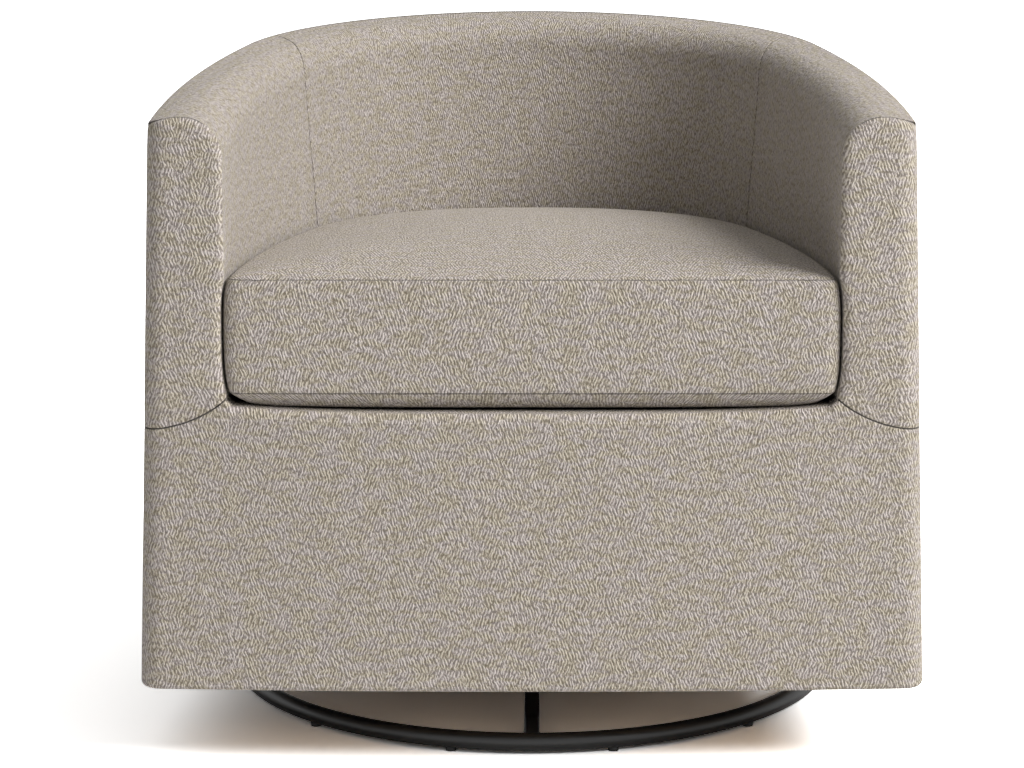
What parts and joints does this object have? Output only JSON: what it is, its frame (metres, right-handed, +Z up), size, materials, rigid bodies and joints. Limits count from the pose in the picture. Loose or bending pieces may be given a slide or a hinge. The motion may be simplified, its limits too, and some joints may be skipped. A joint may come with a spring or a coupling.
{
  "type": "swivel glider chair",
  "caption": "Barrel-shaped upholstered armchair with a loose seat cushion that glides on links and swivels on a black ring base.",
  "frame": {"origin": "on the floor, under the swivel axis", "axes": "+Z up, the sitter faces -Y, +X to the right in a front view"},
  "size_m": [0.7864, 0.776, 0.7064],
  "materials": {
    "upholstery_fabric": "matte",
    "lining_fabric": "matte",
    "frame_wood": "matte",
    "black_steel": "satin",
    "bright_steel": "satin",
    "glide_plastic": "matte",
    "bush_plastic": "satin",
    "stop_rubber": "matte"
  },
  "bodies": {
    "base": {"base_ring": "black_steel", "base_arm_front": "black_steel", "base_arm_back": "black_steel", "base_arm_left": "black_steel", "base_arm_right": "black_steel", "center_hub": "black_steel", "lower_race": "bright_steel", "bearing_balls": "bright_steel", "floor_glides": "glide_plastic"},
    "swivel_frame": {"swivel_plate": "black_steel", "bracket_left": "black_steel", "bracket_right": "black_steel", "upper_race": "bright_steel", "kingpin": "bright_steel", "kingpin_washer": "bright_steel", "kingpin_nut": "bright_steel", "bracket_bolts": "bright_steel", "upper_pivot_pins": "bright_steel", "upper_spacers": "bright_steel", "glide_bumpers": "stop_rubber"},
    "link_front_left": {"link_front_left": "black_steel", "bushes_front_left": "bush_plastic"},
    "link_front_right": {"link_front_right": "black_steel", "bushes_front_right": "bush_plastic"},
    "link_rear_left": {"link_rear_left": "black_steel", "bushes_rear_left": "bush_plastic"},
    "link_rear_right": {"link_rear_right": "black_steel", "bushes_rear_right": "bush_plastic"},
    "seat": {"glide_rail_left": "black_steel", "glide_rail_right": "black_steel", "lower_pivot_pins": "bright_steel", "lower_spacers": "bright_steel", "mounting_bolts": "bright_steel", "tee_nuts": "bright_steel", "sinuous_springs": "bright_steel", "spring_clips": "bright_steel", "bottom_frame": "frame_wood", "seat_platform": "frame_wood", "front_board": "frame_wood", "lower_ribs": "frame_wood", "upper_ribs": "frame_wood", "arm_post_left": "frame_wood", "arm_post_right": "frame_wood", "rim_rail": "frame_wood", "front_spring_rail": "frame_wood", "rear_spring_rail": "frame_wood", "cross_rail_front": "frame_wood", "cross_rail_rear": "frame_wood", "seat_deck": "lining_fabric", "dust_cover": "lining_fabric", "inside_back_pad": "upholstery_fabric", "inside_arm_pad_left": "upholstery_fabric", "inside_arm_pad_right": "upholstery_fabric", "arm_front_left": "upholstery_fabric", "arm_front_right": "upholstery_fabric", "front_panel": "upholstery_fabric", "outside_arm_left": "upholstery_fabric", "outside_arm_right": "upholstery_fabric", "outside_back": "upholstery_fabric", "seat_cushion": "upholstery_fabric"}
  },
  "joints": [
    {"name": "swivel", "type": "hinge", "parent": "base", "child": "swivel_frame", "pos_m": [0, 0, 0.09], "axis": [0, 0, 1], "continuous": true},
    {"name": "glide", "type": "hinge", "parent": "swivel_frame", "child": "link_front_left", "pos_m": [-0.151, -0.1, 0.242], "axis": [1, 0, 0], "range_deg": [-28, 28]},
    {"name": "link_front_right_swing", "type": "hinge", "parent": "swivel_frame", "child": "link_front_right", "pos_m": [0.151, -0.1, 0.242], "axis": [1, 0, 0], "range_deg": [-28, 28]},
    {"name": "link_rear_left_swing", "type": "hinge", "parent": "swivel_frame", "child": "link_rear_left", "pos_m": [-0.151, 0.1, 0.242], "axis": [1, 0, 0], "range_deg": [-28, 28]},
    {"name": "link_rear_right_swing", "type": "hinge", "parent": "swivel_frame", "child": "link_rear_right", "pos_m": [0.151, 0.1, 0.242], "axis": [1, 0, 0], "range_deg": [-28, 28]},
    {"name": "seat_level", "type": "hinge", "parent": "link_front_left", "child": "seat", "pos_m": [-0.151, -0.1, 0.137], "axis": [1, 0, 0], "range_deg": [-28, 28]}
  ],
  "couplings": [
    {"joint": "link_front_right_swing", "follows": "glide", "ratio": 1},
    {"joint": "link_rear_left_swing", "follows": "glide", "ratio": 1},
    {"joint": "link_rear_right_swing", "follows": "glide", "ratio": 1},
    {"joint": "seat_level", "follows": "glide", "ratio": -1}
  ]
}
